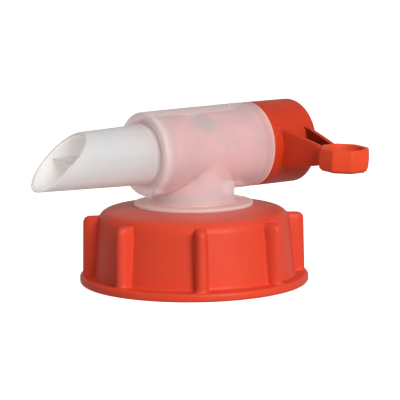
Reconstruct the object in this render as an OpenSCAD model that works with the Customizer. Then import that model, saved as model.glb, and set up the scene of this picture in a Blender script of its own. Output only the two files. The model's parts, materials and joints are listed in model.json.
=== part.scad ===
// Drum and jerrycan tap: a screw cap for a 61 mm container neck, a tap body that swivels
// on it, a tapered spout and a hollow turning plug with a ring-ended key.
// Origin: on the cap's axis, in the plane of its open rim. +Z is up through the stem,
// the spout points to -X and the key's lever to -Y when the tap is shut.

/* [Screw cap] */
// Radius of the flange round the cap's open rim
flange_r = 37; // [36.5:0.1:38]
// Height of that flange
flange_h = 2.7; // [2:0.1:4]
// Height of the cap under the tap's disc
cap_h = 24.8; // [24.5:0.1:25.2]
// Height of the cap where its top meets the shoulder
shoulder_h = 23.6; // [23:0.1:24]
// Outer radius of the cap's wall at the flange
wall_r_low = 32.4; // [32:0.1:33]
// Outer radius of the cap's wall at its shoulder
wall_r_high = 31; // [30.6:0.1:31.5]
// Radius of the rounded shoulder
shoulder_r = 4; // [3:0.1:4.4]
// Radius over the thread's crests inside the cap
thread_r = 28.9; // [28.5:0.1:29.1]
// Length of the threaded wall, from the open rim
thread_len = 14; // [13:0.1:14.2]
// Number of grip ribs
rib_count = 8; // [6:1:12]
// Width of a grip rib
rib_w = 4.4; // [3.5:0.1:5]
// Radius over the grip ribs at the flange
rib_r = 36; // [35:0.1:36]
// Height of the top of the ribs
rib_top = 21.8; // [20:0.1:22.5]
// Turn of the first rib from +X
rib_turn = 12.3; // [-20:0.1:20]

/* [Tap body] */
// Height of the barrel's axis
axis_z = 42.7; // [42:0.1:44]
// Outer radius of the barrel at its front end
barrel_r_front = 13.4; // [13.2:0.1:13.8]
// Outer radius of the barrel at its rear rim
barrel_r_rear = 13.85; // [13.6:0.05:14.2]
// Front end of the barrel, along X
barrel_x_front = -20; // [-21:0.1:-19.5]
// Rear rim of the barrel, along X
barrel_x_rear = 23; // [22.5:0.1:24]
// Radius of the bore that the plug turns in
bore_r = 11.5; // [11.3:0.05:11.6]
// Outer radius of the stem
stem_r = 13.3; // [13:0.1:13.5]
// Radius of the disc that sits on the cap
disc_r = 19.2; // [18:0.1:21]
// Thickness of that disc
disc_t = 1.1; // [0.8:0.1:2]
// Bore of the stem
stem_bore_r = 9.4; // [9:0.1:9.6]

/* [Spout] */
// Outer radius of the spout where it leaves the barrel
spout_r_root = 9.6; // [9.4:0.1:9.8]
// Outer radius of the spout at the tip
spout_r_tip = 8.35; // [8:0.05:9]
// Wall of the spout
spout_wall = 1.3; // [1:0.1:1.6]
// Tip of the spout, along X
spout_x_tip = -60; // [-66:0.5:-56]
// Upper end of the slanted cut, along X
cut_x_top = -41.5; // [-44:0.5:-36]

/* [Key and plug] */
// Radius of the key's drum
key_r = 13.8; // [13.5:0.1:14]
// Outer end of the key, along X
key_x_end = 41; // [40:0.1:42]
// Rounding of the key's outer edge
key_round = 1.6; // [1:0.1:3]
// Dip of the lever below level when the tap is shut
lever_dip = 3.4; // [0:0.1:6]
// Middle of the lever, along X
lever_x = 32.1; // [31.8:0.1:32.3]
// Distance from the barrel's axis to the ring's centre
ring_reach = 37; // [35:0.5:45]
// Half the ring's width across flats
ring_flat = 7.8; // [7:0.05:8]
// Radius of the ring's eye
eye_r = 6; // [5.5:0.1:6.2]
// Half the ring's height
ring_half_h = 3.7; // [3.2:0.1:4.2]
// Half the distance over the two arms where they leave the drum
arm_out_root = 6.05; // [5.8:0.05:6.2]
// Half the distance over the two arms at the ring
arm_out_ring = 3.6; // [3.3:0.1:4.5]
// Half the arms' height where they leave the drum
arm_half_root = 6.5; // [6:0.1:7]
// Half the arms' height at the ring
arm_half_ring = 3.1; // [2.6:0.1:3.4]
// Thickness of an arm
arm_t = 1.8; // [1.5:0.1:2]
// Width of the liquid port along the plug
port_w = 8.6; // [7:0.1:9]
// Length of the liquid port across the plug
port_l = 20.2; // [16:0.1:20.4]

/* [Seals and clip] */
// Half the thickness of a plug seal
seal_r = 0.95; // [0.9:0.05:1]
// Middle of the front plug seal, along X
front_seal_x = -11.5; // [-12.5:0.1:-10]
// Middle of the rear plug seal, along X
rear_seal_x = 15; // [13:0.1:16]
// Thickness of the neck gasket
gasket_t = 2; // [1.5:0.1:2.4]
// Thickness of the retaining clip
clip_t = 1.2; // [1:0.1:1.4]

/* [Hidden] */
$fn = 96;

run_gap = 0.08;                       // radial gap of a turning fit
seal_gap = 0.05;                      // radial gap outside a seal
slack = 0.1;                          // cut past a face, so that no skin is left
plate_z = shoulder_h - 1.8;           // underside of the cap's top plate
seat_r = 19.6;                        // flat of the cap under the disc
relief_r = thread_r + 0.3;            // plain wall above the thread
gasket_seat_r = 28.2;
gasket_seat_z = plate_z - gasket_t;
flange_round = 0.8;
boss_r = 15.2;
boss_z = 17.3;                        // lower end of the boss round the stem hole
neck_r = 12.2;                        // stem inside the cap
neck_z = 14.5;                        // lower end of the stem
hole_r = neck_r + run_gap;
disc_z = cap_h + slack;
stem_seal_z = 20.9;
seal_ring_r = bore_r - seal_gap - seal_r;
stem_seal_ring_r = hole_r - seal_gap - seal_r;
groove_w = 2 * seal_r + 0.3;
clip_z = boss_z - 0.2 - clip_t;
clip_r_in = neck_r - 1;
clip_r_out = 14.6;
clip_gap_deg = 55;
front_round = 1.8;
front_wall_x = barrel_x_front + 0.8;  // floor of the recess round the spout
front_wall_in = -17;                  // inner face of the front wall
rim_relief_x = 19.6;                  // relief behind the rear rim
rim_lip_x = 22.3;
rim_relief_r = 13.5;
bead_x = 20.2;                        // snap bead that keeps the plug in
bead_r = bore_r + 0.35;
bead_w = 1.4;
divider_t = 1;
divider_x = 5.1;                      // wall that splits the stem
air_x = 7.7;
air_r = 1.3;
shank_r = spout_r_root + 0.1;
shank_x = -20.7;
spout_flange_r = bore_r - run_gap;
spout_flange_x = front_wall_in + 1.4;
plug_r = bore_r - run_gap;
plug_x = spout_flange_x + 0.3;
plug_in_r = 8.5;
plug_in_end = key_x_end - 2.8;
port_x = 0.5;
key_x = barrel_x_rear + 0.15;
arm_root = 10;                        // arms start inside the drum
arm_lead = 12.2;                      // arms leave the drum's surface
arm_ring = ring_reach - ring_flat;    // arms meet the ring
arm_end = arm_ring + 0.9;

// Turns a profile of [radius, x] about the barrel's axis.
module about_barrel() {
    translate([0, 0, axis_z]) rotate([0, 90, 0]) rotate_extrude() children();
}

// A rectangle from corner a to corner b.
module box2(a, b) {
    translate(a) square(b - a);
}

// A ring of round section about Z.
module o_ring(ring_r, wire_r) {
    rotate_extrude() translate([ring_r, 0]) circle(r = wire_r);
}

// A flat ring about Z.
module washer(r_in, r_out, z, t) {
    translate([0, 0, z]) difference() {
        cylinder(r = r_out, h = t);
        translate([0, 0, -slack]) cylinder(r = r_in, h = t + 2 * slack);
    }
}

// Outside of the cap without its ribs, as [radius, z].
module cap_outline() {
    box2([0, 0], [flange_r - flange_round, flange_h]);
    box2([0, flange_round], [flange_r, flange_h - flange_round]);
    for (z = [flange_round, flange_h - flange_round])
        translate([flange_r - flange_round, z]) circle(r = flange_round);
    centre = [wall_r_high - shoulder_r, shoulder_h - shoulder_r];
    polygon([[0, 0], [wall_r_low, 0], [wall_r_high, centre[1]], [0, centre[1]]]);
    translate(centre) circle(r = shoulder_r);
    slope = top_slope(centre - [seat_r, cap_h]);
    polygon([[0, 0], centre, centre + shoulder_r * [sin(slope), cos(slope)],
             [seat_r, cap_h], [0, cap_h]]);
}

// Fall of the top, as an angle, on a line that just touches the shoulder's round.
function top_slope(to_centre) =
    -atan2(to_centre[1], to_centre[0]) - asin(shoulder_r / norm(to_centre));

// Inside of the cap, as [radius, z].
module cap_hollow() {
    box2([0, -slack], [thread_r, thread_len]);
    box2([0, thread_len], [relief_r, gasket_seat_z]);
    box2([0, gasket_seat_z - slack], [gasket_seat_r, plate_z]);
}

// The ribs' plan is cut by a turned side view with a rounded upper corner.
module cap_ribs() {
    inner_r = 30;
    lean = 0.3;
    corner = 2;
    intersection() {
        linear_extrude(rib_top) for (i = [0 : rib_count - 1])
            rotate(rib_turn + 360 * i / rib_count) rib_plan(inner_r);
        rotate_extrude() {
            polygon([[inner_r - 1, 0], [rib_r, 0], [rib_r - lean, rib_top - corner],
                     [inner_r - 1, rib_top - corner]]);
            box2([inner_r - 1, 0], [rib_r - lean - corner, rib_top]);
            translate([rib_r - lean - corner, rib_top - corner]) circle(r = corner);
        }
    }
}

module rib_plan(inner_r) {
    edge = 1.5;
    box2([inner_r, -rib_w / 2], [rib_r - edge, rib_w / 2]);
    box2([inner_r, edge - rib_w / 2], [rib_r + 1, rib_w / 2 - edge]);
    for (side = [-1, 1])
        translate([rib_r - edge, side * (rib_w / 2 - edge)]) circle(r = edge);
}

module screw_cap() {
    color("orangered") difference() {
        union() {
            difference() {
                union() {
                    rotate_extrude() intersection() {
                        cap_outline();
                        box2([0, 0], [flange_r, cap_h]);
                    }
                    cap_ribs();
                }
                rotate_extrude() cap_hollow();
            }
            translate([0, 0, boss_z]) cylinder(r = boss_r, h = plate_z + 1 - boss_z);
        }
        translate([0, 0, boss_z - slack]) cylinder(r = hole_r, h = cap_h);
    }
}

module neck_gasket() {
    color("dimgray")
        washer(boss_r + 0.3, gasket_seat_r - seal_gap, gasket_seat_z, gasket_t);
}

// Outside of the barrel, as [radius, x].
module barrel_outline() {
    round_x = barrel_x_front + front_round;
    polygon([[0, round_x], [barrel_r_front, round_x], [barrel_r_rear, rim_relief_x],
             [rim_relief_r, rim_relief_x], [rim_relief_r, rim_lip_x],
             [key_r, rim_lip_x], [key_r, barrel_x_rear], [0, barrel_x_rear]]);
    translate([barrel_r_front - front_round, round_x]) circle(r = front_round);
    box2([0, front_wall_x], [barrel_r_front - front_round, round_x]);
}

module tap_body() {
    color("mistyrose") {
        difference() {
            union() {
                about_barrel() barrel_outline();
                translate([0, 0, disc_z]) cylinder(r = stem_r, h = axis_z - disc_z);
                translate([0, 0, disc_z]) cylinder(r = stem_r + 0.5, h = disc_t + 0.5);
                translate([0, 0, disc_z]) cylinder(r = disc_r, h = disc_t);
                translate([0, 0, neck_z]) cylinder(r = neck_r, h = disc_z - neck_z + 1);
            }
            about_barrel() {
                box2([0, front_wall_in], [bore_r, barrel_x_rear + slack]);
                box2([0, barrel_x_front - 1], [shank_r, front_wall_in + slack]);
                box2([0, bead_x - bead_w / 2 - 0.2],
                     [bead_r + run_gap, bead_x + bead_w / 2 + 0.2]);
            }
            translate([0, 0, neck_z - slack])
                cylinder(r = stem_bore_r, h = axis_z - neck_z);
            washer(neck_r - groove_depth(), neck_r + 1, stem_seal_z - groove_w / 2, groove_w);
            washer(clip_r_in, neck_r + 1, clip_z, clip_t);
        }
        stem_divider();
    }
}

// Depth of the seal's groove in the stem.
function groove_depth() = neck_r - stem_seal_ring_r + seal_r;

// Wall across the stem, between the liquid's way out and the air's way in.
module stem_divider() {
    difference() {
        intersection() {
            translate([0, 0, neck_z]) cylinder(r = stem_bore_r + 0.2, h = axis_z - neck_z);
            translate([divider_x, -stem_r, neck_z])
                cube([divider_t, 2 * stem_r, axis_z - neck_z]);
        }
        about_barrel() box2([0, front_wall_in], [bore_r, barrel_x_rear]);
    }
}

module stem_seal() {
    color("firebrick") translate([0, 0, stem_seal_z]) o_ring(stem_seal_ring_r, seal_r);
}

// Open flat ring that snaps into the stem's lower groove, under the cap's boss.
module retaining_clip() {
    color("ivory") difference() {
        washer(clip_r_in, clip_r_out, clip_z, clip_t);
        rotate(90) linear_extrude(cap_h)
            polygon([[0, 0], for (a = [-1, 1]) 2 * clip_r_out
                     * [cos(a * clip_gap_deg / 2), sin(a * clip_gap_deg / 2)]]);
    }
}

// Outer radius of the spout's tapered stretch at x.
function spout_r(x) = spout_r_tip
    + (spout_r_root - spout_r_tip) * (x - spout_x_tip) / (shank_x - spout_x_tip);

// Outside of the spout, as [radius, x].
module spout_outline() {
    polygon([[0, spout_x_tip - 1], [spout_r(spout_x_tip - 1), spout_x_tip - 1],
             [spout_r_root, shank_x], [0, shank_x]]);
    box2([0, shank_x], [shank_r, front_wall_in]);
    box2([0, front_wall_in], [spout_flange_r, spout_flange_x]);
}

// Inside of the spout, as [radius, x].
module spout_hollow() {
    polygon([[0, spout_x_tip - 2], [spout_r(spout_x_tip - 2) - spout_wall, spout_x_tip - 2],
             [spout_r_root - spout_wall, shank_x],
             [spout_r_root - spout_wall, spout_flange_x + slack],
             [0, spout_flange_x + slack]]);
}

// Everything outside the slanted cut at the spout's mouth, as a block.
module mouth_cut() {
    top = [cut_x_top, axis_z + spout_r_root];
    tip = [spout_x_tip, axis_z - spout_r_tip];
    along = top - tip;
    rotate([90, 0, 0]) linear_extrude(4 * spout_r_root, center = true)
        polygon([tip - 0.2 * along, top + 0.2 * along,
                 top + 0.2 * along - [60, 0], tip - 0.2 * along - [60, 0]]);
}

module spout() {
    color("whitesmoke") difference() {
        union() {
            difference() {
                about_barrel() spout_outline();
                about_barrel() spout_hollow();
            }
            spout_divider();
        }
        mouth_cut();
    }
}

// Level wall that keeps the air's way in above the liquid. Its sides end inside the tube's wall.
module spout_divider() {
    divider_front = -48.3;
    in_wall = spout_wall / 2;
    intersection() {
        about_barrel() polygon([
            [0, divider_front], [spout_r(divider_front) - in_wall, divider_front],
            [spout_r_root - in_wall, shank_x], [spout_r_root - in_wall, spout_flange_x],
            [0, spout_flange_x]]);
        translate([divider_front, -spout_r_root, axis_z - divider_t / 2])
            cube([spout_flange_x - divider_front, 2 * spout_r_root, divider_t]);
    }
}

// Outside of the plug and the key's drum, as [radius, x].
module key_outline() {
    box2([0, plug_x], [plug_r, key_x]);
    box2([0, bead_x - bead_w / 2], [bead_r, bead_x + bead_w / 2]);
    box2([0, key_x], [key_r, key_x_end - key_round]);
    box2([0, key_x], [key_r - key_round, key_x_end]);
    translate([key_r - key_round, key_x_end - key_round]) circle(r = key_round);
}

// Half the distance over the arms at a distance s from the barrel's axis.
function arm_out(s) = arm_out_root
    + (arm_out_ring - arm_out_root) * (s - arm_lead) / (arm_ring - arm_lead);

// Half the arms' height at a distance s from the barrel's axis.
function arm_half(s) = arm_half_root
    + (arm_half_ring - arm_half_root) * (s - arm_lead) / (arm_ring - arm_lead);

// The lever's own frame: +Z across the lever, -Y out to the ring.
module lever_frame() {
    translate([lever_x, 0, axis_z]) rotate([lever_dip, 0, 0]) children();
}

module arms() {
    intersection() {
        linear_extrude(4 * arm_half_root, center = true)
            for (side = [-1, 1]) polygon([
                [side * arm_out(arm_root), -arm_root],
                [side * arm_out(arm_end), -arm_end],
                [side * (arm_out(arm_end) - arm_t), -arm_end],
                [side * (arm_out(arm_root) - arm_t), -arm_root]]);
        rotate([90, 0, -90]) linear_extrude(4 * arm_out_root, center = true) polygon([
            [arm_root, arm_half(arm_root)], [arm_end, arm_half(arm_end)],
            [arm_end, -arm_half(arm_end)], [arm_root, -arm_half(arm_root)]]);
    }
}

// Eight-sided ring with slightly crowned sides and bevelled edges.
module ring() {
    crown = 0.25;
    bevel = 0.5;
    low_bevel = 1.1;
    low_side = low_bevel - 0.2;
    flat = ring_flat;
    h = ring_half_h;
    translate([0, -ring_reach, 0]) intersection_for(i = [0 : 3])
        rotate(45 * i) rotate([90, 0, 0]) linear_extrude(4 * flat, center = true)
            polygon([[flat - crown - low_bevel, -h], [flat - crown, low_side - h],
                     [flat, 0], [flat - crown, h - bevel], [flat - crown - bevel, h],
                     [crown + bevel - flat, h], [crown - flat, h - bevel], [-flat, 0],
                     [crown - flat, low_side - h], [crown + low_bevel - flat, -h]]);
}

// Groove for a plug seal, as [radius, x].
module seal_groove(x) {
    box2([seal_ring_r - seal_r, x - groove_w / 2], [bore_r + 1, x + groove_w / 2]);
}

// Liquid port with round ends and the round air port behind it.
module plug_ports() {
    end_r = port_w / 2;
    translate([port_x, 0, axis_z]) linear_extrude(2 * plug_r) {
        square([port_w, port_l - port_w], center = true);
        for (side = [-1, 1]) translate([0, side * (port_l / 2 - end_r)]) circle(r = end_r);
    }
    translate([air_x, 0, axis_z + 1]) cylinder(r = air_r, h = 2 * plug_r);
}

// Walls inside the plug that carry on the spout's and the stem's dividers.
module plug_divider() {
    intersection() {
        about_barrel() box2([0, plug_x], [plug_in_r + 0.4, divider_x + divider_t]);
        union() {
            translate([plug_x, -plug_r, axis_z - divider_t / 2])
                cube([divider_x + divider_t - plug_x, 2 * plug_r, divider_t]);
            translate([divider_x, -plug_r, axis_z])
                cube([divider_t, 2 * plug_r, plug_r]);
        }
    }
}

module key_plug() {
    color("orangered") {
        difference() {
            union() {
                about_barrel() key_outline();
                lever_frame() {
                    arms();
                    ring();
                }
            }
            about_barrel() {
                box2([0, plug_x - slack], [plug_in_r, plug_in_end]);
                seal_groove(front_seal_x);
                seal_groove(rear_seal_x);
            }
            plug_ports();
            lever_frame() translate([0, -ring_reach, 0])
                cylinder(r = eye_r, h = 4 * ring_half_h, center = true);
        }
        plug_divider();
    }
}

module plug_seal(x) {
    color("firebrick") translate([x, 0, axis_z]) rotate([0, 90, 0]) o_ring(seal_ring_r, seal_r);
}

module front_seal() {
    plug_seal(front_seal_x);
}

module rear_seal() {
    plug_seal(rear_seal_x);
}

screw_cap();
neck_gasket();
tap_body();
stem_seal();
retaining_clip();
spout();
key_plug();
front_seal();
rear_seal();
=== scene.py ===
import json
import math

import bmesh
import bpy
from mathutils import Matrix, Vector


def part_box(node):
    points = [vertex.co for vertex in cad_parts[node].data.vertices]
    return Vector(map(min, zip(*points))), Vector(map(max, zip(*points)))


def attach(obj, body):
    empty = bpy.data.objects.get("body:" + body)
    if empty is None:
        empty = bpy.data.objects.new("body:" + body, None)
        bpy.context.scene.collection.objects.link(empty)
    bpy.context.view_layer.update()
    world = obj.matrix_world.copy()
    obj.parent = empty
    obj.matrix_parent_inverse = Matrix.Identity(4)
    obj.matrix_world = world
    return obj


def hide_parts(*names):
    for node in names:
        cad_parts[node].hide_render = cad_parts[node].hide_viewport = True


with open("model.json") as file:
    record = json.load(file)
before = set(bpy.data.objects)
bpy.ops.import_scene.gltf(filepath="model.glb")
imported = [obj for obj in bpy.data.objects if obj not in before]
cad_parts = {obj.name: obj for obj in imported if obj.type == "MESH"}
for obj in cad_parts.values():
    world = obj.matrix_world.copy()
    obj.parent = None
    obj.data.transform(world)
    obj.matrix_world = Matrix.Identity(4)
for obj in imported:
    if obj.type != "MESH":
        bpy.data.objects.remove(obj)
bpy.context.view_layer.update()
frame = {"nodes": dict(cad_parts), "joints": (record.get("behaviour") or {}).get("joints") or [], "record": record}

# Drum and jerrycan tap. Lengths are in millimetres, and are turned into metres where they are used. Metres
# are kept for the names that end in _M, the light, the camera's near limit, and the shaders' bumps and glow.
MM = 0.001
TURN = 2 * math.pi
SLIVER_M = 1e-6
SHARP_DEG = 32


def limits(node):
    """Lowest and highest corner of a CAD node, in millimetres."""
    low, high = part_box(node)
    return low / MM, high / MM


_, cap_high = limits("screw_cap")
tap_low, tap_high = limits("tap_body")
spout_low, spout_high = limits("spout")
key_low, key_high = limits("key_plug")
JOINTS = {joint["name"]: joint for joint in frame["joints"]}
MOUNTS = {mount["name"]: mount for mount in frame["record"]["mounts"]}
AXIS = JOINTS["key_turn"]["pos_m"][2] / MM


# ---------------------------------------------------------------- mesh tools

def about_z(radius, height, turn):
    return Vector((radius * math.cos(turn), radius * math.sin(turn), height)) * MM


def about_barrel(radius, along, turn):
    return Vector((along, radius * math.cos(turn), AXIS + radius * math.sin(turn))) * MM


def rounded(corners, steps=5):
    """Closed outline through corners (a, b, radius), with each corner that has a radius made round."""
    points = []
    for i, (a, b, radius) in enumerate(corners):
        here = Vector((a, b))
        if radius <= 0:
            points.append(here)
            continue
        before = Vector(corners[i - 1][:2]) - here
        after = Vector(corners[(i + 1) % len(corners)][:2]) - here
        half = before.angle(after) / 2
        reach = min(radius / math.tan(half), 0.49 * before.length, 0.49 * after.length)
        middle = (before.normalized() + after.normalized()).normalized()
        centre = here + middle * (reach / math.cos(half))
        start = here + before.normalized() * reach - centre
        end = here + after.normalized() * reach - centre
        sweep = math.atan2(start.x * end.y - start.y * end.x, start.dot(end))
        for k in range(steps + 1):
            points.append(centre + Matrix.Rotation(sweep * k / steps, 2) @ start)
    return points


def dense(points, step):
    """The closed outline with points added so that none are further apart than step."""
    out = []
    for here, after in zip(points, points[1:] + points[:1]):
        parts = max(1, math.ceil((after - here).length / step))
        out += [here.lerp(after, k / parts) for k in range(parts)]
    return out


def new_object(name, bm):
    bmesh.ops.recalc_face_normals(bm, faces=bm.faces)
    mesh = bpy.data.meshes.new(name)
    bm.to_mesh(mesh)
    bm.free()
    made = bpy.data.objects.new(name, mesh)
    bpy.context.scene.collection.objects.link(made)
    return made


def lathe(name, outline, about, segments=160):
    """Closed solid made by turning a closed outline of (radius, height)."""
    bm = bmesh.new()
    rings = []
    for radius, height in outline:
        if radius < 1e-6:
            rings.append([bm.verts.new(about(0, height, 0))] * segments)
        else:
            rings.append([bm.verts.new(about(radius, height, TURN * k / segments))
                          for k in range(segments)])
    for low, high in zip(rings, rings[1:] + rings[:1]):
        for k in range(segments):
            after = (k + 1) % segments
            corners = dict.fromkeys([low[k], low[after], high[after], high[k]])
            if len(corners) > 2:
                bm.faces.new(list(corners))
    return new_object(name, bm)


def hoop(name, columns):
    """Closed ring-shaped solid through columns of points, each a closed loop of equal length."""
    bm = bmesh.new()
    rings = [[bm.verts.new(point) for point in column] for column in columns]
    for here, after in zip(rings, rings[1:] + rings[:1]):
        for k in range(len(here)):
            bm.faces.new([here[k - 1], after[k - 1], after[k], here[k]])
    return new_object(name, bm)


def loft(name, sections):
    """Closed solid through sections, each a closed loop of equal length, with flat ends."""
    bm = bmesh.new()
    rings = [[bm.verts.new(point) for point in section] for section in sections]
    for low, high in zip(rings, rings[1:]):
        for k in range(len(low)):
            bm.faces.new([low[k - 1], low[k], high[k], high[k - 1]])
    bm.faces.new(rings[0])
    bm.faces.new(rings[-1])
    return new_object(name, bm)


def block(name, low, high):
    """Closed box between two corners."""
    bm = bmesh.new()
    bmesh.ops.create_cube(bm, size=1)
    size = Vector(high) - Vector(low)
    for vert in bm.verts:
        vert.co = Vector(v * s for v, s in zip(vert.co, size)) * MM
        vert.co += (Vector(low) + Vector(high)) / 2 * MM
    return new_object(name, bm)


def apply_boolean(target, other, operation):
    modifier = target.modifiers.new("shape", "BOOLEAN")
    modifier.object = other
    modifier.operation = operation
    modifier.solver = "EXACT"
    bpy.context.view_layer.objects.active = target
    bpy.ops.object.modifier_apply(modifier=modifier.name)
    bpy.data.objects.remove(other)
    return target


def join_solid(target, other):
    return apply_boolean(target, other, "UNION")


def cut(target, other):
    return apply_boolean(target, other, "DIFFERENCE")


def keep_within(target, other):
    return apply_boolean(target, other, "INTERSECT")


def drop_slivers(piece):
    """Makes the faces triangles and dissolves those without area, which cutting leaves behind."""
    shape = bmesh.new()
    shape.from_mesh(piece.data)
    for _ in range(2):
        bmesh.ops.triangulate(shape, faces=shape.faces[:])
        bmesh.ops.dissolve_degenerate(shape, dist=SLIVER_M, edges=shape.edges[:])
    shape.to_mesh(piece.data)
    shape.free()


def smooth(piece):
    """Smooth shading, broken at edges sharper than SHARP_DEG."""
    piece.data.shade_smooth()
    piece.data.set_sharp_from_angle(angle=math.radians(SHARP_DEG))


def barrel_distance(centre):
    """Distance of a point from the barrel's axis, in millimetres."""
    return math.hypot(centre.y, centre.z - AXIS * MM) / MM


def second_material(piece, chosen):
    """Gives a piece's second material to each face whose centre and normal are chosen."""
    for face in piece.data.polygons:
        face.material_index = int(chosen(face.center, face.normal))


def faces_barrel_axis(centre, normal):
    """Does a face look towards the barrel's axis?"""
    return normal.y * centre.y + normal.z * (centre.z - AXIS * MM) < 0


def finish_piece(piece, body, materials, nodes):
    """Smooths a piece, gives it its materials, and lets it stand for CAD nodes on a body."""
    drop_slivers(piece)
    smooth(piece)
    for material in materials:
        piece.data.materials.append(material)
    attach(piece, body)
    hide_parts(*nodes)
    return piece


# ---------------------------------------------------------------- materials

def material_nodes(name):
    material = bpy.data.materials.new(name)
    material.use_nodes = True
    tree = material.node_tree
    return material, tree, tree.nodes["Principled BSDF"]


def node(tree, kind, **values):
    made = tree.nodes.new(kind)
    for key, value in values.items():
        setattr(made, key, value)
    return made


def noise(tree, scale, detail=3.0, rough=0.55):
    """Noise over the piece's own place, with scale in cycles a metre."""
    coords = node(tree, "ShaderNodeTexCoord")
    made = node(tree, "ShaderNodeTexNoise")
    made.inputs["Scale"].default_value = scale
    made.inputs["Detail"].default_value = detail
    made.inputs["Roughness"].default_value = rough
    tree.links.new(coords.outputs["Object"], made.inputs["Vector"])
    return made.outputs["Fac"]


def remap(tree, value, low, high, to_low, to_high, smooth_step=False):
    made = node(tree, "ShaderNodeMapRange",
                interpolation_type="SMOOTHSTEP" if smooth_step else "LINEAR")
    for key, number in (("From Min", low), ("From Max", high),
                        ("To Min", to_low), ("To Max", to_high)):
        made.inputs[key].default_value = number
    tree.links.new(value, made.inputs["Value"])
    return made.outputs["Result"]


def fade(tree, value, start_mm, end_mm, at_start, at_end):
    """Smooth change of a value in metres between two limits in millimetres."""
    return remap(tree, value, start_mm * MM, end_mm * MM, at_start, at_end, smooth_step=True)


def mixed(tree, share, first, second):
    """Colour between first and second. Each is a colour or a socket."""
    made = node(tree, "ShaderNodeMix", data_type="RGBA")
    for socket, colour in ((made.inputs["A"], first), (made.inputs["B"], second)):
        pick = [s for s in made.inputs if s.name == socket.name and s.type == "RGBA"][0]
        if isinstance(colour, tuple):
            pick.default_value = (*colour, 1)
        else:
            tree.links.new(colour, pick)
    tree.links.new(share, made.inputs["Factor"])
    return [s for s in made.outputs if s.type == "RGBA"][0]


def place(tree):
    """The piece's own X, Y and Z, in metres."""
    coords = node(tree, "ShaderNodeTexCoord")
    split = node(tree, "ShaderNodeSeparateXYZ")
    tree.links.new(coords.outputs["Object"], split.inputs[0])
    return split.outputs


def multiply(tree, first, second):
    made = node(tree, "ShaderNodeMath", operation="MULTIPLY")
    tree.links.new(first, made.inputs[0])
    tree.links.new(second, made.inputs[1])
    return made.outputs[0]


def moulded_surface(tree, shader, rough_low, rough_high, grain, edge=0.0):
    """Uneven gloss and the fine grain of a moulding, with softened edges."""
    gloss = noise(tree, 140, 5, 0.6)
    tree.links.new(remap(tree, gloss, 0.3, 0.7, rough_low, rough_high),
                   shader.inputs["Roughness"])
    waves = node(tree, "ShaderNodeBump")
    waves.inputs["Strength"].default_value = 0.35
    waves.inputs["Distance"].default_value = 0.00012
    tree.links.new(noise(tree, 95, 2, 0.4), waves.inputs["Height"])
    fine = node(tree, "ShaderNodeBump")
    fine.inputs["Strength"].default_value = grain
    fine.inputs["Distance"].default_value = 0.00003
    tree.links.new(noise(tree, 2600, 4, 0.6), fine.inputs["Height"])
    tree.links.new(waves.outputs[0], fine.inputs["Normal"])
    if edge:
        bevel = node(tree, "ShaderNodeBevel", samples=6)
        bevel.inputs["Radius"].default_value = edge * MM
        tree.links.new(bevel.outputs[0], waves.inputs["Normal"])
    tree.links.new(fine.outputs[0], shader.inputs["Normal"])


def orange_plastic(name, colour, shade, pale, zone=None, zone_colour=None):
    """Orange-red polyethylene: broad flow marks, a few pale scuffs, a satin skin and one zone of its own, which on
    the cap is a painted reflection and on the key sets off painted shade.
    """
    material, tree, shader = material_nodes(name)
    flow = remap(tree, noise(tree, 38, 4, 0.6), 0.3, 0.7, 0, 1)
    scuffs = remap(tree, noise(tree, 420, 8, 0.75), 0.66, 0.82, 0, 0.5)
    tint = mixed(tree, flow, colour, shade)
    scuffed = mixed(tree, scuffs, tint, pale)
    if zone:
        scuffed = mixed(tree, zone(tree), scuffed, zone_colour)
    tree.links.new(scuffed, shader.inputs["Base Color"])
    shader.inputs["Subsurface Weight"].default_value = 0.12
    shader.inputs["Subsurface Radius"].default_value = (0.0016, 0.0004, 0.0002)
    shader.inputs["Subsurface Scale"].default_value = 1.0
    shader.inputs["Specular IOR Level"].default_value = 0.2
    moulded_surface(tree, shader, 0.34, 0.46, 0.22, edge=0.35)
    return material


def cap_top_reflection_share(tree):
    """Share of the painted reflection, a paler colour, on the cap's sloping top."""
    return fade(tree, place(tree)[2], 22.2, 26.2, 0.03, 0.46)


def unshaded_ring_share(tree):
    """Share of the ring's own brighter colour; the drum and arms keep a darker orange, which is painted shade."""
    return fade(tree, place(tree)[1], -27.5, -29.5, 0, 1)


def milky_plastic(name, colour_socket, see_through, edge=0.0, glow=0.5, painted_glow_through=0.0):
    """Natural polyethylene. glow is the light that spreads in it; its emission is a painted glow that stands in
    for the light that comes through from behind.
    """
    material, tree, shader = material_nodes(name)
    cloud = remap(tree, noise(tree, 75, 5, 0.65), 0.32, 0.68, 0, 0.25)
    cloudy = mixed(tree, cloud, colour_socket(tree), CLOUD)
    tree.links.new(cloudy, shader.inputs["Base Color"])
    shader.inputs["Alpha"].default_value = 1 - see_through
    shader.inputs["Subsurface Weight"].default_value = glow
    # Painted glow: the emission stands in for light that comes through the plastic from behind.
    tree.links.new(cloudy, shader.inputs["Emission Color"])
    shader.inputs["Emission Strength"].default_value = painted_glow_through
    shader.inputs["Subsurface Radius"].default_value = (0.008, 0.0068, 0.0065)
    shader.inputs["Subsurface Scale"].default_value = 1.0
    shader.inputs["Specular IOR Level"].default_value = 0.4
    moulded_surface(tree, shader, 0.36, 0.5, 0.15, edge=edge)
    return material


def window_share(tree):
    """The grey patch high on the barrel's -Y side, where the port leaves no red behind it."""
    coords = node(tree, "ShaderNodeTexCoord")
    away = node(tree, "ShaderNodeVectorMath", operation="DISTANCE")
    away.inputs[1].default_value = Vector(WINDOW_AT) * MM
    tree.links.new(coords.outputs["Object"], away.inputs[0])
    ragged = node(tree, "ShaderNodeMath", operation="MULTIPLY_ADD")
    tree.links.new(noise(tree, 260, 3, 0.6), ragged.inputs[0])
    ragged.inputs[1].default_value = WINDOW_RAGGED * MM
    tree.links.new(away.outputs["Value"], ragged.inputs[2])
    return fade(tree, ragged.outputs[0], WINDOW_INNER, WINDOW_OUTER, 0.75, 0)


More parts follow.
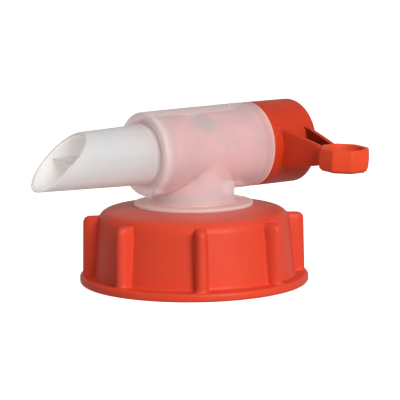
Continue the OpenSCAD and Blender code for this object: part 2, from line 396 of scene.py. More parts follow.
def tap_colour_with_painted_light(tree):
    """Milky white that takes the red of the plug and of the cap where they lie behind it, with painted light: a
    lighter front end, a highlight on the rear lip, a darker top and a lighter disc.
    """
    x, _, z = place(tree)
    over_plug = multiply(tree, fade(tree, x, -19.5, -13.5, 0, 1), fade(tree, z, 27, 33, 0, 1))
    patches = remap(tree, noise(tree, 85, 2, 0.5), 0.38, 0.62, 0.3, 1)
    rings = multiply(tree, fade(tree, x, 19.5, 19.9, 0, 0.45), fade(tree, x, 20.7, 21.1, 1, 0.5))
    colour = TAP_WHITE
    for share, zone_colour in ((multiply(tree, over_plug, patches), TAP_PINK),
                               (rings, TAP_RINGS),
                               (fade(tree, x, 22.1, 22.4, 0, 1), TAP_LIP_HIGHLIGHT),
                               (fade(tree, x, -19.5, -16.5, 1, 0), TAP_FRONT_FILL_LIGHT),
                               (window_share(tree), TAP_WINDOW),
                               (fade(tree, z, 53.5, 56.2, 0, 0.75), TAP_CREST_SHADE),
                               (fade(tree, z, 26.2, 27.8, 1, 0), TAP_DISC_RED_AND_FILL_LIGHT)):
        colour = mixed(tree, share, colour, zone_colour)
    return colour


def spout_colour_with_fill_light(tree):
    """Milky white: beige towards the mouth, pink where it meets the barrel, and lighter and warmer underneath,
    which is painted fill light on its shaded side.
    """
    x, _, z = place(tree)
    colour = SPOUT_WHITE
    for share, zone_colour in ((fade(tree, x, -52, -36, 0.5, 0), SPOUT_WARM),
                               (fade(tree, z, 33.5, 40.5, 1, 0), SPOUT_UNDER_FILL_LIGHT),
                               (fade(tree, x, -31, -19, 0, 0.45), SPOUT_ROOT_PINK)):
        colour = mixed(tree, share, colour, zone_colour)
    return colour


def spout_inside_lit_colour(tree):
    """The cloudy beige of the spout's inside, painted light: lighter than the outside, for the light that comes
    through its walls.
    """
    clouds = remap(tree, noise(tree, 60, 3, 0.5), 0.3, 0.7, 0, 1)
    return mixed(tree, clouds, SPOUT_INSIDE_LIT, SPOUT_INSIDE_LIT_CLOUD)


def rubber(name, colour, shade):
    material, tree, shader = material_nodes(name)
    tree.links.new(mixed(tree, noise(tree, 300, 5), colour, shade), shader.inputs["Base Color"])
    shader.inputs["Specular IOR Level"].default_value = 0.35
    moulded_surface(tree, shader, 0.5, 0.7, 0.4)
    return material


def foam(name, colour, shade):
    """Closed-cell foam: fine cells in its colour and its surface."""
    material, tree, shader = material_nodes(name)
    coords = node(tree, "ShaderNodeTexCoord")
    cells = node(tree, "ShaderNodeTexVoronoi")
    cells.inputs["Scale"].default_value = 1700
    tree.links.new(coords.outputs["Object"], cells.inputs["Vector"])
    share = remap(tree, cells.outputs["Distance"], 0, 0.7, 0, 1)
    tree.links.new(mixed(tree, share, shade, colour), shader.inputs["Base Color"])
    bump = node(tree, "ShaderNodeBump")
    bump.inputs["Strength"].default_value = 0.5
    bump.inputs["Distance"].default_value = 0.00008
    tree.links.new(cells.outputs["Distance"], bump.inputs["Height"])
    tree.links.new(bump.outputs[0], shader.inputs["Normal"])
    tree.links.new(remap(tree, noise(tree, 200), 0.3, 0.7, 0.8, 0.95), shader.inputs["Roughness"])
    return material


def floor_material():
    material, tree, shader = material_nodes("pale_floor")
    shade = remap(tree, noise(tree, 3, 2), 0.2, 0.8, 0, 1)
    tree.links.new(mixed(tree, shade, (0.93, 0.93, 0.93), (0.95, 0.95, 0.95)),
                   shader.inputs["Base Color"])
    shader.inputs["Roughness"].default_value = 0.9
    shader.inputs["Emission Color"].default_value = (1, 1, 1, 1)
    shader.inputs["Emission Strength"].default_value = 0.8
    return material


CLOUD = (0.64, 0.48, 0.475)
TAP_WHITE = (0.55, 0.43, 0.43)
TAP_PINK = (0.76, 0.475, 0.475)
# The key's red behind the rear lip, with a painted highlight along it.
TAP_LIP_HIGHLIGHT = (1.0, 0.56, 0.48)
TAP_RINGS = (0.62, 0.34, 0.34)
TAP_WINDOW = (0.48, 0.45, 0.44)
# Painted shade: the barrel's top is given a darker colour.
TAP_CREST_SHADE = (0.48, 0.40, 0.39)
# The cap's red behind the disc, painted lighter as fill light against the barrel's shadow.
TAP_DISC_RED_AND_FILL_LIGHT = (0.74, 0.47, 0.43)
# Painted fill light: the barrel's front end is given a lighter colour.
TAP_FRONT_FILL_LIGHT = (0.70, 0.55, 0.54)
WINDOW_AT = (-2.8, -8.8, 52.5)
WINDOW_INNER = 4.0
WINDOW_OUTER = 8.0
WINDOW_RAGGED = 4.0
SPOUT_WHITE = (0.55, 0.565, 0.57)
SPOUT_WARM = (0.60, 0.585, 0.56)
SPOUT_ROOT_PINK = (0.66, 0.50, 0.49)
# Painted fill light: the spout's underside is given a lighter, warmer colour.
SPOUT_UNDER_FILL_LIGHT = (0.76, 0.67, 0.67)
# Painted light: the spout's inside is given a light beige for the light that comes through its walls.
SPOUT_INSIDE_LIT = (0.86, 0.82, 0.78)
SPOUT_INSIDE_LIT_CLOUD = (0.80, 0.76, 0.71)
CAP_ORANGE = (0.71, 0.052, 0.016)
CAP_SHADE = (0.64, 0.046, 0.014)
CAP_SCUFF = (0.74, 0.09, 0.035)
# Painted reflection: the paler colour of the cap's sloping top.
CAP_TOP_REFLECTION = (0.50, 0.29, 0.27)
# Painted shade: the key's drum and arms are given a darker orange than its ring.
KEY_ORANGE_PAINTED_SHADE = (0.56, 0.038, 0.009)
KEY_FLOW_PAINTED_SHADE = (0.48, 0.033, 0.008)
KEY_SCUFF = (0.70, 0.09, 0.035)
KEY_RING_UNSHADED = (0.70, 0.062, 0.017)
# Painted shade: a dark copy of the key's orange for the inner faces of the lever's arms.
GAP_PAINTED_SHADE_ORANGE = (0.26, 0.010, 0.002)
GAP_PAINTED_SHADE_FLOW = (0.20, 0.008, 0.002)
GAP_PAINTED_SHADE_SCUFF = (0.40, 0.03, 0.01)
cap_plastic = orange_plastic("cap_plastic", CAP_ORANGE, CAP_SHADE, CAP_SCUFF, cap_top_reflection_share, CAP_TOP_REFLECTION)
key_plastic = orange_plastic("key_plastic", KEY_ORANGE_PAINTED_SHADE, KEY_FLOW_PAINTED_SHADE, KEY_SCUFF, unshaded_ring_share, KEY_RING_UNSHADED)
key_gap_painted_shade_plastic = orange_plastic("key_gap_painted_shade_plastic", GAP_PAINTED_SHADE_ORANGE, GAP_PAINTED_SHADE_FLOW, GAP_PAINTED_SHADE_SCUFF)
tap_plastic_painted_light = milky_plastic("tap_plastic_painted_light", tap_colour_with_painted_light, 0.28, edge=0.12, glow=0.7, painted_glow_through=0.18)
tap_bore_plastic = milky_plastic("tap_bore_plastic", tap_colour_with_painted_light, 0.92)
spout_plastic = milky_plastic("spout_plastic", spout_colour_with_fill_light, 0.16, glow=1.0, painted_glow_through=0.08)
spout_inside_plastic_painted_light = milky_plastic("spout_inside_plastic_painted_light", spout_inside_lit_colour, 0.2,
                                     glow=1.0, painted_glow_through=0.26)
seal_rubber = rubber("seal_rubber", (0.50, 0.045, 0.025), (0.42, 0.035, 0.02))
gasket_foam = foam("gasket_foam", (0.34, 0.34, 0.33), (0.2, 0.2, 0.2))
clip_plastic = rubber("clip_plastic", (0.80, 0.74, 0.60), (0.72, 0.66, 0.53))


# ---------------------------------------------------------------- screw cap

FLANGE_R = min(cap_high.x, cap_high.y)
FLANGE_H = 2.7
FLANGE_ROUND = 0.8
FLANGE_FILLET = 0.9
WALL_LOW = 32.4
WALL_HIGH = 31.0
CAP_H = cap_high.z
SHOULDER_R = 4.0
SHOULDER_H = 23.6
SEAT_R = 19.6
HOLE_R = 12.28
BOSS_R = 15.2
BOSS_Z = 17.3
PLATE_Z = 21.8
THREAD_R = MOUNTS["cap_thread"]["dims"]["r_mm"]
THREAD_LEN = MOUNTS["cap_thread"]["dims"]["length_mm"]
THREAD_DEPTH = 1.0
THREAD_PITCH = 6.0
THREAD_HALF = 1.9
THREAD_FLANK = 1.1
THREAD_RUN_IN = 1.2
THREAD_RUN_OUT = 1.5
THREAD_ROWS = 46
SEAT_WALL_R = 28.2
SEAT_WALL_Z = 19.8
RELIEF_R = THREAD_R + 0.3
RIBS = 8
FIRST_RIB = math.radians(12.3)
RIB_R = 36.0
RIB_LEAN = 0.3
RIB_TOP = 21.8
RIB_CORNER = 2.0
RIB_HALF = 2.15
RIB_FILLET = 0.6
RIB_DOME = 3.8
RIB_SOFT = 1.2
GAP_STEPS = 18


def clamped(value):
    return min(1.0, max(0.0, value))


def arc(centre, radius, start_deg, end_deg, steps):
    """Points of a round stretch, ends included."""
    angles = [math.radians(start_deg + (end_deg - start_deg) * k / steps) for k in range(steps + 1)]
    return [Vector((centre[0] + radius * math.cos(a), centre[1] + radius * math.sin(a)))
            for a in angles]


def straight(start, end, steps):
    """Points between two ends, without either end."""
    start, end = Vector(start), Vector(end)
    return [start.lerp(end, k / steps) for k in range(1, steps)]


def cap_outside():
    """The flange's edge, the wall between ribs, the same stretch over a rib, and the shoulder and top."""
    round_r = FLANGE_R - FLANGE_ROUND
    edge = arc((round_r, FLANGE_ROUND), FLANGE_ROUND, -90, 0, 4)
    edge += arc((round_r, FLANGE_H - FLANGE_ROUND), FLANGE_ROUND, 0, 90, 4)
    middle = (WALL_HIGH - SHOULDER_R, SHOULDER_H - SHOULDER_R)
    join_deg = math.degrees(math.asin((RIB_TOP - middle[1]) / SHOULDER_R))
    plain = straight((round_r, FLANGE_H), (WALL_LOW + FLANGE_FILLET, FLANGE_H), 4)
    plain += arc((WALL_LOW + FLANGE_FILLET, FLANGE_H + FLANGE_FILLET), FLANGE_FILLET, 270, 180, 5)
    plain += straight((WALL_LOW, FLANGE_H + FLANGE_FILLET), (WALL_HIGH, middle[1]), 14)
    plain += arc(middle, SHOULDER_R, 0, join_deg, 9)
    join = plain[-1]
    top_r = RIB_R - RIB_LEAN
    over = straight((round_r, FLANGE_H), (RIB_R, FLANGE_H + 0.5), 4)
    over += straight((RIB_R, FLANGE_H + 0.4), (RIB_R, FLANGE_H + 2), 7)
    over += straight((RIB_R, FLANGE_H + 2), (top_r, RIB_TOP - RIB_CORNER), 14)
    over += arc((top_r - RIB_CORNER, RIB_TOP - RIB_CORNER), RIB_CORNER, 0, 90, 6)
    over += straight((top_r - RIB_CORNER, RIB_TOP), join, 4)[:2] + [join]
    assert len(plain) == len(over)
    shoulder = arc(middle, SHOULDER_R, join_deg, top_tangent_deg(middle), 8)[1:]
    top = straight(shoulder[-1], (SEAT_R, CAP_H), 5) + [Vector((SEAT_R, CAP_H))]
    top += straight((SEAT_R, CAP_H), (HOLE_R + 0.4, CAP_H), 3)
    return edge, plain, over, shoulder + top


def top_tangent_deg(middle):
    """Angle on the shoulder's round where the sloping top leaves it."""
    to_seat = Vector((SEAT_R - middle[0], CAP_H - middle[1]))
    return math.degrees(math.atan2(to_seat.y, to_seat.x) - math.acos(SHOULDER_R / to_seat.length))


def cap_inside():
    """From the stem's hole at the top, down it and round the boss and the gasket's seat."""
    corners = [(SEAT_R, CAP_H, 0), (HOLE_R, CAP_H, 0.4), (HOLE_R, BOSS_Z, 0.3), (BOSS_R, BOSS_Z, 0.5),
               (BOSS_R, PLATE_Z, 0.6), (SEAT_WALL_R, PLATE_Z, 0.3), (SEAT_WALL_R, SEAT_WALL_Z, 0.1),
               (RELIEF_R, SEAT_WALL_Z, 0.3), (RELIEF_R, THREAD_LEN, 0)]
    return rounded(corners, 3)[1:]


def thread_radius(height, turn):
    """Radius of the neck thread's groove: flat crests, a rounded root and faded ends."""
    phase = (height / THREAD_PITCH - turn / TURN) % 1.0
    from_root = abs(phase - 0.5) * THREAD_PITCH
    depth = clamped((THREAD_HALF - from_root) / THREAD_FLANK)
    depth = depth * depth * (3 - 2 * depth)
    ends = clamped(height / THREAD_RUN_IN) * clamped((THREAD_LEN - height) / THREAD_RUN_OUT)
    return THREAD_R + THREAD_DEPTH * depth * ends


def rib_columns():
    """(distance across the rib, share of its full height, least rise from the wall) over one rib."""
    half = []
    for k in range(1, 9):
        a = math.radians(90 * k / 8)
        half.append((RIB_HALF * math.sin(a), math.cos(a), RIB_FILLET))
    for k in range(1, 5):
        a = math.radians(90 * k / 4)
        half.append((RIB_HALF + RIB_FILLET * (1 - math.cos(a)), 0.0, RIB_FILLET * (1 - math.sin(a))))
    mirrored = [(-across, share, rise) for across, share, rise in reversed(half)]
    return mirrored + [(0.0, 1.0, RIB_FILLET)] + half


def rib_point(point, ribbed, share, rise):
    """Between the wall's point and the rib's. The rib's top is domed across its width."""
    depth = (ribbed - point).length
    if depth < 1e-9:
        return point
    own_top = RIB_TOP + RIB_SOFT - RIB_DOME * (1 - share)
    below_top = clamped((own_top - point.y) / RIB_SOFT)
    return point.lerp(ribbed, below_top * min(1.0, share + (1 - share) * rise / depth))


def cap_piece():
    """The whole cap as columns of points round its axis: over each rib, then across each gap."""
    edge, plain, over, top = cap_outside()
    inside = cap_inside()
    columns = []

    def column(turn, across=0.0, share=0.0, rise=0.0):
        own_turn = turn + math.asin(across / WALL_LOW)
        points = [about_z(p.x, p.y, own_turn) for p in edge]
        for point, ribbed in zip(plain, over):
            placed = rib_point(point, ribbed, share, rise)
            points.append(about_z(placed.x, placed.y, turn + math.asin(across / placed.x)))
        points += [about_z(p.x, p.y, own_turn) for p in top + inside]
        for k in range(1, THREAD_ROWS + 1):
            height = THREAD_LEN * (1 - k / THREAD_ROWS)
            points.append(about_z(thread_radius(height, own_turn), height, own_turn))
        points.append(about_z((THREAD_R + FLANGE_R) / 2, 0, own_turn))
        columns.append(points)

    rib_turn = math.asin((RIB_HALF + RIB_FILLET) / WALL_LOW)
    for i in range(RIBS):
        middle = FIRST_RIB + TURN * i / RIBS
        for across, share, rise in rib_columns():
            column(middle, across, share, rise)
        start = middle + rib_turn
        end = middle + TURN / RIBS - rib_turn
        for k in range(1, GAP_STEPS):
            column(start + (end - start) * k / GAP_STEPS)
    return hoop("ribbed_screw_cap", columns)


# ---------------------------------------------------------------- tap body

BARREL_R_FRONT = 13.4
BARREL_R_REAR = tap_high.z - AXIS
BARREL_FRONT = tap_low.x
BARREL_REAR = tap_high.x
RECESS_DEPTH = 0.6
RECESS_R = 11.3
RINGS_R = 13.5
RING_RISE = 0.12
LIP_R = 13.8
BORE_R = 11.5
FRONT_WALL_IN = -17.0
SHANK_R = 9.7
STEM_R = 13.3
STEM_BORE_R = 9.4
STEM_LOW = tap_low.z
NECK_R = 12.2
WALL_X = 5.1
WALL_T = 1.0
DISC_R = tap_high.y
DISC_T = 1.1
DISC_Z = CAP_H + 0.1
SEAL_Z = 20.9
SEAL_GROOVE = 2.2
CLIP_Z = BOSS_Z - 1.4
CLIP_T = 1.2


def barrel_solid():
    """Outside of the barrel, with the recess round the spout and the fine rings behind its rear rim."""
    recess, low, raised = BARREL_FRONT + RECESS_DEPTH, RINGS_R, RINGS_R + RING_RISE
    corners = [(0, recess, 0), (RECESS_R - 1.1, recess, 0.5),
               (RECESS_R, BARREL_FRONT, 0.7), (BARREL_R_FRONT, BARREL_FRONT, 1.9),
               (BARREL_R_REAR, 19.6, 0.12), (low, 19.8, 0.1), (low, 20.8, 0.05),
               (raised, 20.9, 0.05), (raised, 21.2, 0.05), (low, 21.3, 0.05), (low, 22.2, 0.1),
               (LIP_R, 22.35, 0.15), (LIP_R, BARREL_REAR, 0.2), (0, BARREL_REAR, 0)]
    return lathe("barrel", dense(rounded(corners, 5), 1.6), about_barrel, 192)


def stem_solid():
    """The stem, its disc and the neck inside the cap, with the grooves for the seal and the clip."""
    groove_r = NECK_R - 1.9
    disc_top = DISC_Z + DISC_T
    corners = [(0, STEM_LOW, 0), (NECK_R, STEM_LOW, 0.5), (NECK_R, CLIP_Z, 0.1), (NECK_R - 1, CLIP_Z, 0.1),
               (NECK_R - 1, CLIP_Z + CLIP_T, 0.1), (NECK_R, CLIP_Z + CLIP_T, 0.1),
               (NECK_R, SEAL_Z - SEAL_GROOVE / 2, 0.1), (groove_r, SEAL_Z - SEAL_GROOVE / 2, 0.1),
               (groove_r, SEAL_Z + SEAL_GROOVE / 2, 0.1), (NECK_R, SEAL_Z + SEAL_GROOVE / 2, 0.1),
               (NECK_R, DISC_Z, 0.1), (DISC_R, DISC_Z, 0.2), (DISC_R, disc_top, 0.35),
               (STEM_R + 0.5, disc_top, 0.3), (STEM_R + 0.5, disc_top + 0.5, 0.2),
               (STEM_R, disc_top + 0.5, 0.25), (STEM_R, AXIS, 0), (0, AXIS, 0)]
    return lathe("stem", dense(rounded(corners, 4), 1.6), about_z, 192)


def upright(radius, start, end):
    """Outline of a plain cylinder between two places on its axis."""
    return [Vector(p) for p in ((0, start), (radius, start), (radius, end), (0, end))]


def tap_piece():
    """Barrel and stem in one, hollowed, with the wall that splits the stem and the spout's hole."""
    body = join_solid(barrel_solid(), stem_solid())
    way = upright(STEM_BORE_R, STEM_LOW - 1, AXIS)
    cut(body, lathe("stem_way", dense(way, 3), about_z, 128))
    wall = block("stem_wall", (WALL_X, -STEM_R, STEM_LOW), (WALL_X + WALL_T, STEM_R, AXIS))
    post = upright(STEM_BORE_R + 0.3, STEM_LOW, AXIS)
    keep_within(wall, lathe("stem_post", post, about_z, 128))
    join_solid(body, wall)
    bore = rounded([(0, FRONT_WALL_IN, 0), (BORE_R, FRONT_WALL_IN, 0.2), (BORE_R, 19.2, 0.1),
                    (BORE_R + 0.4, 19.5, 0.1), (BORE_R + 0.4, 20.9, 0.1), (BORE_R, 21.2, 0.1),
                    (BORE_R, BARREL_REAR - 0.3, 0), (BORE_R + 0.5, BARREL_REAR + 0.2, 0),
                    (BORE_R + 0.5, BARREL_REAR + 1, 0), (0, BARREL_REAR + 1, 0)], 4)
    cut(body, lathe("barrel_bore", dense(bore, 2), about_barrel, 144))
    hole = upright(SHANK_R, BARREL_FRONT - 1, FRONT_WALL_IN + 0.1)
    cut(body, lathe("shank_hole", hole, about_barrel, 128))
    body.name = "swivel_tap_body"
    return body


# ---------------------------------------------------------------- spout

SPOUT_ROOT = -20.7
SPOUT_R_ROOT = 9.6
SPOUT_R_TIP = 8.35
SPOUT_WALL = 1.3
SPOUT_TIP = spout_low.x
SPOUT_END = spout_high.x
CUT_TOP = -41.5
SPOUT_FLANGE_R = spout_high.z - AXIS
MOUTH_SLOPE = (CUT_TOP - SPOUT_TIP) / (SPOUT_R_ROOT + SPOUT_R_TIP)
DIVIDER_FRONT = -48.3
DIVIDER_T = 1.0
BEAD_FRONT = 1.2
BEAD_R = SPOUT_R_ROOT + 0.22


def spout_r(x):
    """Outside radius of the tapered tube."""
    return SPOUT_R_TIP + (SPOUT_R_ROOT - SPOUT_R_TIP) * (x - SPOUT_TIP) / (SPOUT_ROOT - SPOUT_TIP)


def mouth_x(turn, inset):
    """Where the slanted cut meets the wall at one turn, inset from its outside, found by repeating."""
    x = SPOUT_TIP
    for _ in range(30):
        x = SPOUT_TIP + MOUTH_SLOPE * ((spout_r(x) - inset) * math.sin(turn) + SPOUT_R_TIP)
    return x


def spout_piece():
    """The tube with its slanted mouth, root bead and flange, and the level wall inside it."""
    columns = []
    segments = 144
    bead = SPOUT_ROOT - BEAD_FRONT
    for k in range(segments):
        turn = TURN * k / segments
        outer = mouth_x(turn, 0)
        inner = mouth_x(turn, SPOUT_WALL)
        corners = [(spout_r(outer), outer, 0.25)]
        for step in range(1, 22):
            x = outer + (bead - outer) * step / 22
            corners.append((spout_r(x), x, 0))
        corners += [(spout_r(bead), bead, 0.1), (BEAD_R, SPOUT_ROOT - 0.9, 0.1),
                    (BEAD_R, SPOUT_ROOT - 0.3, 0.1),
                    (SHANK_R - 0.02, SPOUT_ROOT, 0.1), (SHANK_R - 0.02, FRONT_WALL_IN, 0.05),
                    (SPOUT_FLANGE_R, FRONT_WALL_IN, 0.1), (SPOUT_FLANGE_R, SPOUT_END, 0.2),
                    (SPOUT_R_ROOT - SPOUT_WALL, SPOUT_END, 0.2)]
        for step in range(1, 22):
            x = FRONT_WALL_IN + (inner - FRONT_WALL_IN) * step / 22
            corners.append((spout_r(min(x, SPOUT_ROOT)) - SPOUT_WALL, x, 0))
        corners.append((spout_r(inner) - SPOUT_WALL, inner, 0.35))
        columns.append([about_barrel(p.x, p.y, turn) for p in rounded(corners, 4)])
    return join_solid(hoop("slant_cut_spout", columns), divider_plate())


def divider_plate():
    """Level wall inside the spout, whose sides end inside the tube's wall."""
    sections = []
    half = DIVIDER_T / 2
    for k in range(25):
        x = DIVIDER_FRONT + (SPOUT_END - DIVIDER_FRONT) * k / 24
        wide = min(spout_r(min(x, SPOUT_ROOT)), SPOUT_R_ROOT) - SPOUT_WALL / 2
        outline = ((-wide, -half), (wide, -half), (wide, half), (-wide, half))
        sections.append([Vector((x, across, AXIS + up)) * MM for across, up in outline])
    return loft("spout_divider", sections)


# ---------------------------------------------------------------- key and plug

KEY_R = key_high.y
KEY_END = 41.0
KEY_ROUND = 1.6
KEY_START = BARREL_REAR + 0.15
PLUG_R = BORE_R - 0.08
PLUG_FRONT = key_low.x
PLUG_HOLLOW_R = 8.5
PLUG_HOLLOW_END = 38.2
SEAL_X = (-11.5, 15.0)
SEAL_FLOOR = 9.55
PORT_X = 0.5
PORT_W = 8.6
PORT_L = 20.2
AIR_X = 7.7
AIR_R = 1.3
LEVER_X = MOUNTS["ring_eye"]["pos_m"][0] / MM
LEVER_DIP = math.radians(3.4)
RING_REACH = 37.0
RING_FLAT = 7.8
RING_HALF = 3.7
EYE_R = MOUNTS["ring_eye"]["dims"]["r_mm"]
ARM_LEAD = 12.2
ARM_RING = RING_REACH - RING_FLAT
ARM_OUT_ROOT = 6.05
ARM_OUT_RING = 3.6
ARM_HALF_ROOT = 6.5
ARM_HALF_RING = 3.1
ARM_T = 1.8
ARM_EDGE = 0.45
ARM_FLARE = 1.1
ARM_FLARE_LEN = 1.4
ARM_INTO_RING = 0.9
LEVER = (Matrix.Translation(Vector((LEVER_X, 0, AXIS)) * MM) @ Matrix.Rotation(LEVER_DIP, 4, "X"))


def drum_solid():
    """The key's drum and its hollow plug, with seal grooves and the snap bead."""
    bead, bead_r = 20.2, PLUG_R + 0.43
    corners = [(PLUG_HOLLOW_R, PLUG_FRONT, 0.2), (PLUG_R, PLUG_FRONT, 0.4)]
    for x in SEAL_X:
        corners += [(PLUG_R, x - SEAL_GROOVE / 2, 0.1), (SEAL_FLOOR, x - SEAL_GROOVE / 2, 0.1),
                    (SEAL_FLOOR, x + SEAL_GROOVE / 2, 0.1), (PLUG_R, x + SEAL_GROOVE / 2, 0.1)]
    corners += [(PLUG_R, bead - 0.7, 0.1), (bead_r, bead - 0.4, 0.1), (bead_r, bead + 0.4, 0.1),
                (PLUG_R, bead + 0.7, 0.1), (PLUG_R, KEY_START, 0.1), (KEY_R, KEY_START, 0.3),
                (KEY_R, KEY_END, KEY_ROUND), (0, KEY_END, 0), (0, PLUG_HOLLOW_END, 0),
                (PLUG_HOLLOW_R, PLUG_HOLLOW_END, 0.6)]
    return lathe("drum", dense(rounded(corners, 7), 1.4), about_barrel, 192)


def port_cutter():
    """Slot with round ends, cut down into the plug from above."""
    half = PORT_W / 2
    straight_half = PORT_L / 2 - half
    outline = arc((PORT_X, straight_half), half, 0, 180, 20)
    outline += arc((PORT_X, -straight_half), half, 180, 360, 20)
    return loft("port_cutter", [[Vector((p.x, p.y, z)) * MM for p in outline]
                                for z in (AXIS + 0.6, AXIS + 2 * PLUG_R)])


def ring_solid():
    """Eight-sided ring with crowned sides and soft edges, in the lever's own frame."""
    sharpness = 70
    crown = 0.25
    columns = []
    segments = 128
    for k in range(segments):
        turn = TURN * k / segments
        faces = [max(0.0, math.cos(turn - TURN * i / 8)) ** sharpness for i in range(8)]
        flat = RING_FLAT * sum(faces) ** (-1 / sharpness)
        corners = [(EYE_R, -RING_HALF, 0.5), (flat - crown - 1.1, -RING_HALF, 0.7),
                   (flat - crown, 0.9 - RING_HALF, 0.5), (flat, 0, 6), (flat - crown, RING_HALF - 0.5, 0.35),
                   (flat - crown - 0.5, RING_HALF, 0.35), (EYE_R, RING_HALF, 0.45), (EYE_R, 0, 0)]
        columns.append([Vector((p.x * math.cos(turn), p.x * math.sin(turn) - RING_REACH, p.y)) * MM
                        for p in rounded(corners, 4)])
    return hoop("ring", columns)


def arm_solid(side):
    """One arm of the lever: a plate that narrows to the ring, with a fillet where it leaves the drum."""
    sections = []
    flare_end, arm_end = ARM_LEAD + ARM_FLARE_LEN, ARM_RING + ARM_INTO_RING
    stations = [10.0, 11.5] + [ARM_LEAD + ARM_FLARE_LEN * k / 7 for k in range(8)]
    stations += [flare_end + (arm_end - flare_end) * k / 12 for k in range(1, 13)]
    for s in stations:
        share = (s - ARM_LEAD) / (ARM_RING - ARM_LEAD)
        out = ARM_OUT_ROOT + (ARM_OUT_RING - ARM_OUT_ROOT) * share
        tall = ARM_HALF_ROOT + (ARM_HALF_RING - ARM_HALF_ROOT) * share
        near = clamped((s - ARM_LEAD) / ARM_FLARE_LEN)
        flare = ARM_FLARE * (1 - math.sqrt(max(0.0, 1 - (1 - near) ** 2)))
        hug = 1 - clamped(share)
        low, high = out - ARM_T - flare * 0.7, out + flare
        top = tall + flare
        corners = [(low, -top, ARM_EDGE), (high, -top, ARM_EDGE),
                   (high, top, ARM_EDGE), (low, top, ARM_EDGE)]
        loop = []
        for p in rounded(corners, 4):
            along = s + hug * (math.sqrt(KEY_R ** 2 - p.y ** 2) - ARM_LEAD)
            loop.append(Vector((side * p.x, -along, p.y)) * MM)
        sections.append(loop)
    return loft("arm", sections)


def faces_between_arms(centre, normal):
    """True for the inner faces of the lever's arms, which lie in deep shade and get a dark orange that is painted
    shade.
    """
    across, along = centre.x / MM - LEVER_X, -centre.y / MM
    return (ARM_LEAD < along < ARM_RING and abs(across) < ARM_OUT_ROOT - ARM_T / 2
            and abs(centre.z / MM - AXIS) < ARM_HALF_ROOT and normal.x * across < 0 and abs(normal.x) > 0.7)


def key_piece():
    """Drum, plug, lever and ring in one, with the port, the air hole and the plug's two walls."""
    key = drum_solid()
    for side in (-1, 1):
        arm = arm_solid(side)
        arm.data.transform(LEVER)
        join_solid(key, arm)
    ring = ring_solid()
    ring.data.transform(LEVER)
    join_solid(key, ring)
    cut(key, port_cutter())
    air = arc((AIR_X, 0), AIR_R, 0, 360, 24)[:-1]
    cut(key, loft("air_cutter", [[Vector((p.x, p.y, z)) * MM for p in air]
                                 for z in (AXIS + 2, AXIS + 2 * PLUG_R)]))
    wall_end, half = WALL_X + WALL_T, DIVIDER_T / 2
    plug_floor = block("plug_floor", (PLUG_FRONT + 0.02, -PLUG_R, AXIS - half),
                       (wall_end, PLUG_R, AXIS + half))
    wall = join_solid(plug_floor, block("plug_wall", (WALL_X, -PLUG_R, AXIS + 0.1),
                                        (wall_end, PLUG_R, AXIS + PLUG_R)))
    within = upright(PLUG_HOLLOW_R + 0.4, PLUG_FRONT, 7)
    keep_within(wall, lathe("plug_inside", within, about_barrel, 96))
    join_solid(key, wall)
    key.name = "ring_ended_key"
    return key


# ---------------------------------------------------------------- the object

def in_barrel_bore(centre, normal):
    return (faces_barrel_axis(centre, normal) and BORE_R - 0.3 < barrel_distance(centre) < BORE_R + 0.6
            and FRONT_WALL_IN < centre.x / MM < BARREL_REAR)


def inside_spout(centre, normal):
    middle_of_wall = spout_r(min(centre.x / MM, SPOUT_ROOT)) - SPOUT_WALL / 2
    return faces_barrel_axis(centre, normal) and barrel_distance(centre) < middle_of_wall


finish_piece(cap_piece(), "cap", [cap_plastic], ["screw_cap"])
tap = finish_piece(tap_piece(), "tap", [tap_plastic_painted_light, tap_bore_plastic], ["tap_body"])
second_material(tap, in_barrel_bore)
spout = finish_piece(spout_piece(), "tap", [spout_plastic, spout_inside_plastic_painted_light],
                     ["spout"])
second_material(spout, inside_spout)
key = finish_piece(key_piece(), "key", [key_plastic, key_gap_painted_shade_plastic], ["key_plug"])
second_material(key, faces_between_arms)
for name, material in (("neck_gasket", gasket_foam), ("retaining_clip", clip_plastic),
                       ("stem_seal", seal_rubber), ("front_seal", seal_rubber), ("rear_seal", seal_rubber)):
    mesh = frame["nodes"][name].data
    mesh.materials.clear()
    mesh.materials.append(material)


# ---------------------------------------------------------------- floor, light and camera

FLOOR_HALF_M = 1.2
FLOOR_DROP_M = 0.00005
WORLD_LIGHT = 0.42
WORLD_SEEN = 1.02
CAMERA_TURN_DEG = -36.62
CAMERA_HEIGHT_DEG = 8.6
CAMERA_ROLL_DEG = -0.57
CAMERA_FAR = 616.68
CAMERA_RIGHT = 2.107
CAMERA_UP = 25.94
LENS = 170.84


def make_floor():
    """A pale floor that is seen, but throws no light back at the object."""
    bm = bmesh.new()
    bmesh.ops.create_grid(bm, x_segments=1, y_segments=1, size=FLOOR_HALF_M)
    floor = new_object("floor", bm)
    floor.location.z = -FLOOR_DROP_M
    floor.data.materials.append(floor_material())
    floor.visible_diffuse = False
    floor.visible_glossy = False


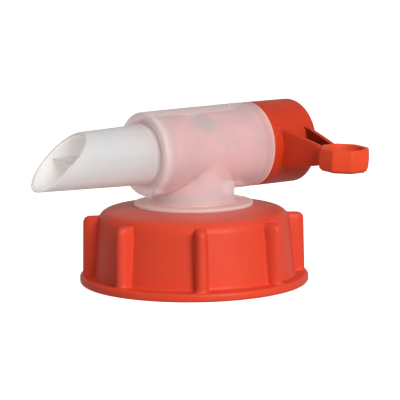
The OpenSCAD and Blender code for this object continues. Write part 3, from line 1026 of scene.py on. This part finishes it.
def soft_light(name, azimuth_deg, elevation_deg, distance, size, power):
    """A soft round light that looks at the object from a direction, with azimuth from +X towards +Y."""
    light = bpy.data.lights.new(name, "AREA")
    light.shape = "DISK"
    light.size = size
    light.energy = power
    lamp = bpy.data.objects.new(name, light)
    bpy.context.scene.collection.objects.link(lamp)
    a, e = math.radians(azimuth_deg), math.radians(elevation_deg)
    direction = Vector((math.cos(a) * math.cos(e), math.sin(a) * math.cos(e), math.sin(e)))
    lamp.location = Vector((0, 0, 0.03)) + direction * distance
    lamp.rotation_mode = "QUATERNION"
    lamp.rotation_quaternion = direction.to_track_quat("Z", "Y")


def make_world():
    """White where it is seen, and weaker as light."""
    world = bpy.data.worlds.new("studio")
    bpy.context.scene.world = world
    world.use_nodes = True
    tree = world.node_tree
    background = tree.nodes["Background"]
    background.inputs["Color"].default_value = (1, 1, 1, 1)
    path = node(tree, "ShaderNodeLightPath")
    strength = remap(tree, path.outputs["Is Camera Ray"], 0, 1, WORLD_LIGHT, WORLD_SEEN)
    tree.links.new(strength, background.inputs["Strength"])


def make_camera():
    """The camera of the photograph: its distance, height, turn and roll, and a long lens."""
    turn = math.radians(CAMERA_TURN_DEG)
    height = math.radians(CAMERA_HEIGHT_DEG)
    roll = math.radians(CAMERA_ROLL_DEG)
    back = Vector((math.sin(turn) * math.cos(height), -math.cos(turn) * math.cos(height), math.sin(height)))
    right = Vector((math.cos(turn), math.sin(turn), 0))
    up = back.cross(right)
    data = bpy.data.cameras.new("camera")
    data.lens = LENS
    data.clip_start = 0.05
    camera = bpy.data.objects.new("camera", data)
    bpy.context.scene.collection.objects.link(camera)
    own_right = math.cos(roll) * right + math.sin(roll) * up
    own_up = math.cos(roll) * up - math.sin(roll) * right
    place_mm = right * CAMERA_RIGHT + up * CAMERA_UP + back * CAMERA_FAR
    facing = Matrix((own_right, own_up, back)).transposed().to_4x4()
    camera.matrix_world = Matrix.Translation(place_mm * MM) @ facing
    bpy.context.scene.camera = camera


make_floor()
make_world()
make_camera()
soft_light("key_light", azimuth_deg=262, elevation_deg=23, distance=0.75, size=0.42, power=5.1)
bpy.context.scene.view_settings.view_transform = "Standard"
